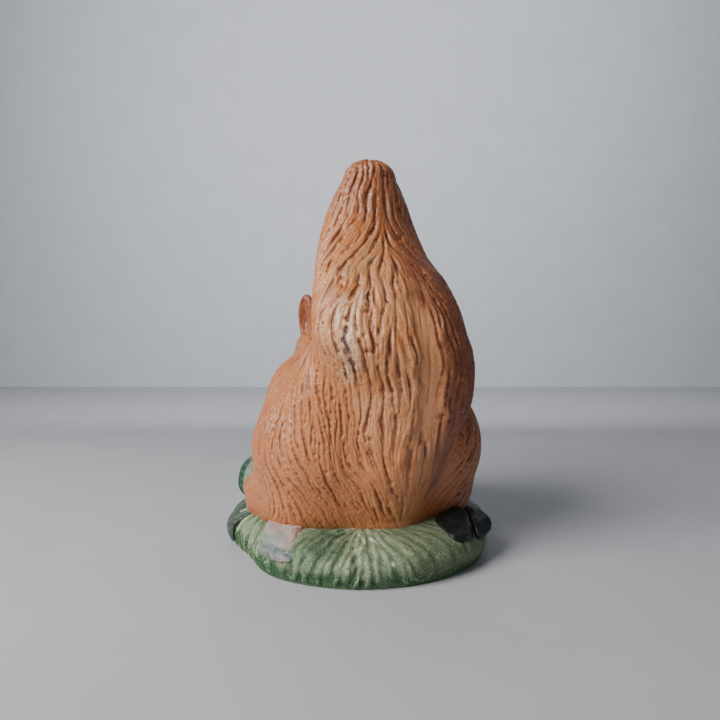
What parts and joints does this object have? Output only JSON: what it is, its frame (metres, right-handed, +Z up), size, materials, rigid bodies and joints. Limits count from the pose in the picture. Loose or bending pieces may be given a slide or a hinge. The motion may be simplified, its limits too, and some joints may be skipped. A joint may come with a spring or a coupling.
{
  "type": "squirrel figurine",
  "caption": "Hollow painted ceramic squirrel sitting on a grassy mound, bushy tail raised behind its back, with leaves and stones on the mound's rim.",
  "frame": {"origin": "middle of the mound's flat underside", "axes": "+Z up, -Y the way the animal faces, +X its left side"},
  "size_m": [0.0859, 0.0844, 0.1209],
  "materials": {
    "fur_paint": "satin hand-painted earthenware",
    "grass_paint": "satin hand-painted earthenware",
    "nut_paint": "satin hand-painted earthenware",
    "pale_stone_paint": "satin hand-painted earthenware",
    "dark_stone_paint": "matt hand-painted earthenware",
    "leaf_paint": "satin hand-painted earthenware"
  },
  "bodies": {
    "root": {"mound_shell": "grass_paint", "body_shell": "fur_paint", "tail_shell": "fur_paint", "head_shell": "fur_paint", "left_ear": "fur_paint", "right_ear": "fur_paint", "left_foreleg": "fur_paint", "right_foreleg": "fur_paint", "left_hind_foot": "fur_paint", "right_hind_foot": "fur_paint", "nut": "nut_paint", "nut_cup": "nut_paint", "pale_stone": "pale_stone_paint", "dark_stones": "dark_stone_paint", "rim_leaf": "leaf_paint", "tall_leaf": "leaf_paint"}
  },
  "joints": []
}
